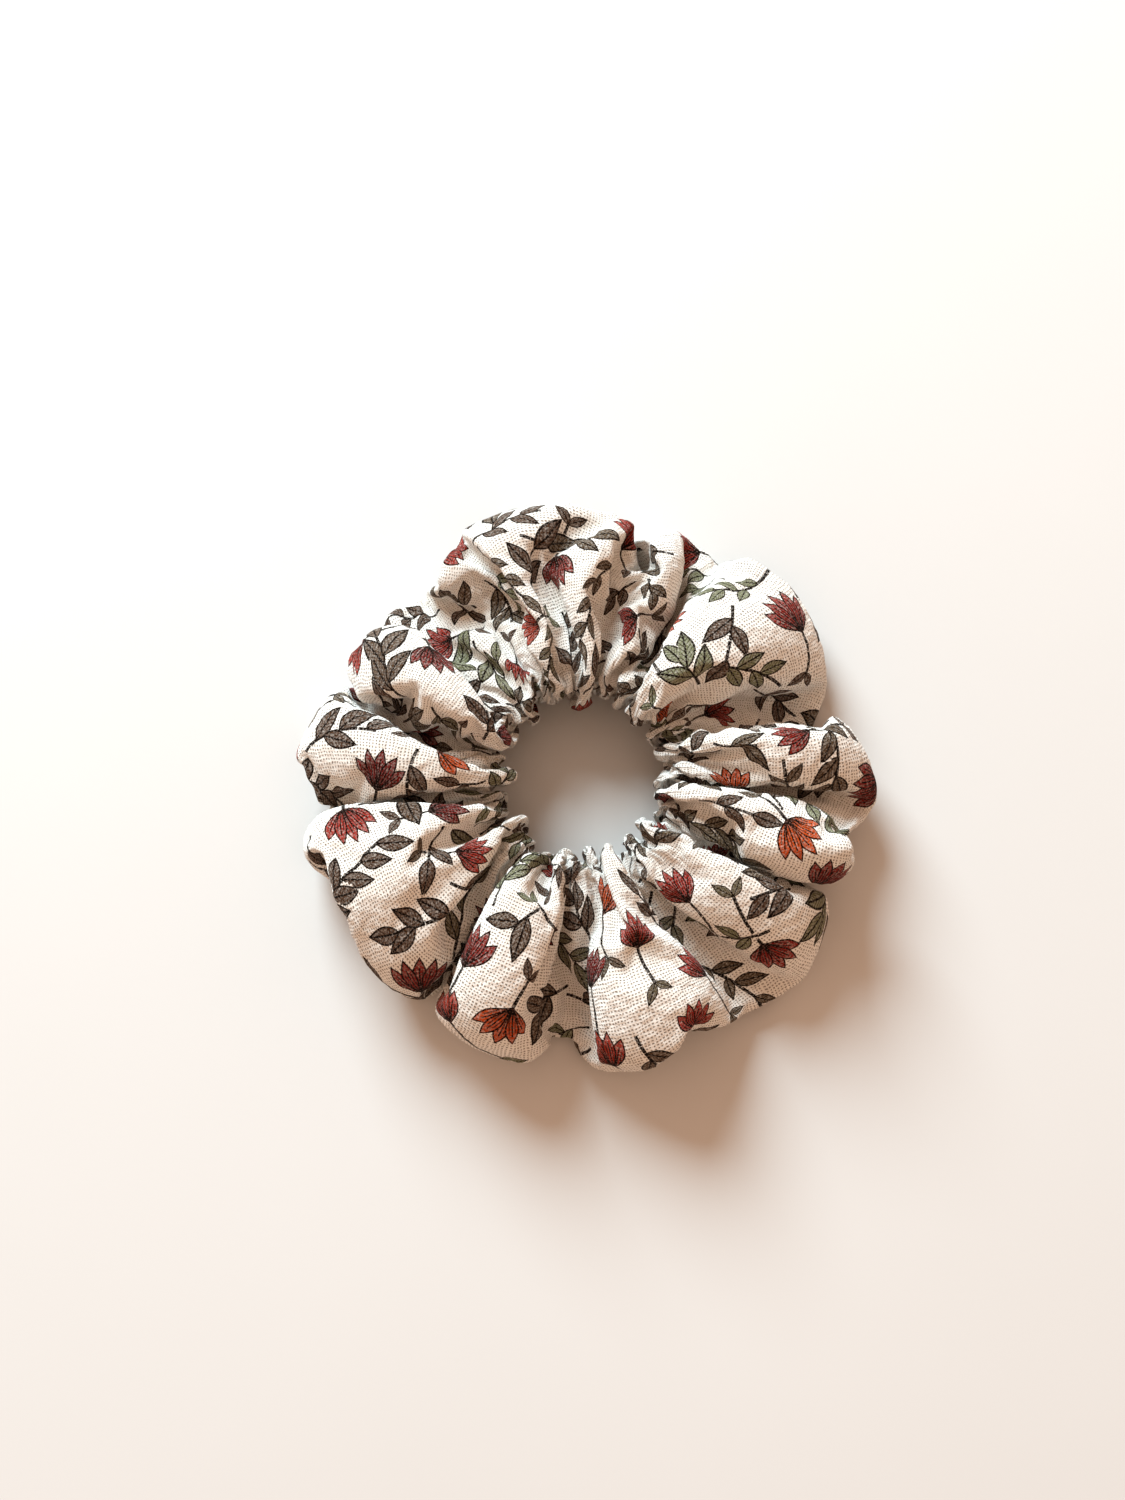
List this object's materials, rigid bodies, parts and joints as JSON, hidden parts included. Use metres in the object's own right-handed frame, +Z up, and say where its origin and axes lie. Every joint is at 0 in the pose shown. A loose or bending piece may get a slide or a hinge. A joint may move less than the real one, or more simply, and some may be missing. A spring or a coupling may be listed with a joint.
{
  "type": "scrunchie",
  "caption": "Round gathered hair scrunchie: a soft ring of floral printed gauze cloth, bunched in puffs on a closed elastic loop.",
  "frame": {"origin": "centre of the ring on the surface that it lies on", "axes": "+Z up along the axis of the loop; -X towards the closing seam"},
  "size_m": [0.1088, 0.1085, 0.028],
  "materials": {
    "print_cloth": "off-white cotton double gauze with a printed pattern of red flowers, olive leaves and brown stems",
    "elastic": "white braided elastic, matt",
    "thread": "cream polyester sewing thread, slight sheen"
  },
  "bodies": {
    "puff_1": {"cloth_puff_1": "print_cloth", "elastic_1": "elastic", "long_seam_thread_1": "thread", "closing_seam_stitches": "thread", "elastic_join_stitches": "thread"},
    "puff_2": {"cloth_puff_2": "print_cloth", "elastic_2": "elastic", "long_seam_thread_2": "thread"},
    "puff_3": {"cloth_puff_3": "print_cloth", "elastic_3": "elastic", "long_seam_thread_3": "thread"},
    "puff_4": {"cloth_puff_4": "print_cloth", "elastic_4": "elastic", "long_seam_thread_4": "thread"},
    "puff_5": {"cloth_puff_5": "print_cloth", "elastic_5": "elastic", "long_seam_thread_5": "thread"},
    "puff_6": {"cloth_puff_6": "print_cloth", "elastic_6": "elastic", "long_seam_thread_6": "thread"},
    "puff_7a": {"cloth_puff_7a": "print_cloth", "elastic_7a": "elastic", "long_seam_thread_7a": "thread"},
    "puff_7b": {"cloth_puff_7b": "print_cloth", "elastic_7b": "elastic", "long_seam_thread_7b": "thread"},
    "puff_8": {"cloth_puff_8": "print_cloth", "elastic_8": "elastic", "long_seam_thread_8": "thread"},
    "puff_9": {"cloth_puff_9": "print_cloth", "elastic_9": "elastic", "long_seam_thread_9": "thread"},
    "puff_10": {"cloth_puff_10": "print_cloth", "elastic_10": "elastic", "long_seam_thread_10": "thread"},
    "puff_11": {"cloth_puff_11": "print_cloth", "elastic_11": "elastic", "long_seam_thread_11": "thread"},
    "puff_12": {"cloth_puff_12": "print_cloth", "elastic_12": "elastic", "long_seam_thread_12": "thread"}
  },
  "joints": [
    {"name": "stretch_1_2", "type": "slide", "parent": "puff_1", "child": "puff_2", "axis": [0.1175, -0.9931, 0], "range_m": [0, 0.01046], "stiffness_N_per_m": 382.5},
    {"name": "stretch_2_3", "type": "slide", "parent": "puff_2", "child": "puff_3", "axis": [0.5446, -0.8387, 0], "range_m": [0, 0.00952], "stiffness_N_per_m": 420},
    {"name": "stretch_3_4", "type": "slide", "parent": "puff_3", "child": "puff_4", "axis": [0.8549, -0.5188, 0], "range_m": [0, 0.01009], "stiffness_N_per_m": 396.6},
    {"name": "stretch_4_5", "type": "slide", "parent": "puff_4", "child": "puff_5", "axis": [0.9984, -0.0567, 0], "range_m": [0, 0.0112], "stiffness_N_per_m": 357.1},
    {"name": "stretch_5_6", "type": "slide", "parent": "puff_5", "child": "puff_6", "axis": [0.891, 0.454, 0], "range_m": [0, 0.01176], "stiffness_N_per_m": 340.2},
    {"name": "stretch_6_7a", "type": "slide", "parent": "puff_6", "child": "puff_7a", "axis": [0.5519, 0.8339, 0], "range_m": [0, 0.01064], "stiffness_N_per_m": 375.8},
    {"name": "stretch_1_12", "type": "slide", "parent": "puff_1", "child": "puff_12", "axis": [0.4107, 0.9118, 0], "range_m": [0, 0.01305], "stiffness_N_per_m": 306.6},
    {"name": "stretch_12_11", "type": "slide", "parent": "puff_12", "child": "puff_11", "axis": [0.8767, 0.481, 0], "range_m": [0, 0.01487], "stiffness_N_per_m": 269},
    {"name": "stretch_11_10", "type": "slide", "parent": "puff_11", "child": "puff_10", "axis": [0.9931, -0.1175, 0], "range_m": [0, 0.01194], "stiffness_N_per_m": 334.9},
    {"name": "stretch_10_9", "type": "slide", "parent": "puff_10", "child": "puff_9", "axis": [0.7986, -0.6018, 0], "range_m": [0, 0.01102], "stiffness_N_per_m": 363.1},
    {"name": "stretch_9_8", "type": "slide", "parent": "puff_9", "child": "puff_8", "axis": [0.3867, -0.9222, 0], "range_m": [0, 0.01194], "stiffness_N_per_m": 334.9},
    {"name": "stretch_8_7b", "type": "slide", "parent": "puff_8", "child": "puff_7b", "axis": [-0.1089, -0.9941, 0], "range_m": [0, 0.01009], "stiffness_N_per_m": 396.6}
  ],
  "couplings": [
    {"joint": "stretch_2_3", "follows": "stretch_1_2", "ratio": 0.91061},
    {"joint": "stretch_3_4", "follows": "stretch_1_2", "ratio": 0.9643},
    {"joint": "stretch_4_5", "follows": "stretch_1_2", "ratio": 1.0712},
    {"joint": "stretch_5_6", "follows": "stretch_1_2", "ratio": 1.1243},
    {"joint": "stretch_6_7a", "follows": "stretch_1_2", "ratio": 1.0178},
    {"joint": "stretch_1_12", "follows": "stretch_1_2", "ratio": 1.2476},
    {"joint": "stretch_12_11", "follows": "stretch_1_2", "ratio": 1.4217},
    {"joint": "stretch_11_10", "follows": "stretch_1_2", "ratio": 1.142},
    {"joint": "stretch_10_9", "follows": "stretch_1_2", "ratio": 1.0534},
    {"joint": "stretch_9_8", "follows": "stretch_1_2", "ratio": 1.142},
    {"joint": "stretch_8_7b", "follows": "stretch_1_2", "ratio": 0.9643}
  ]
}
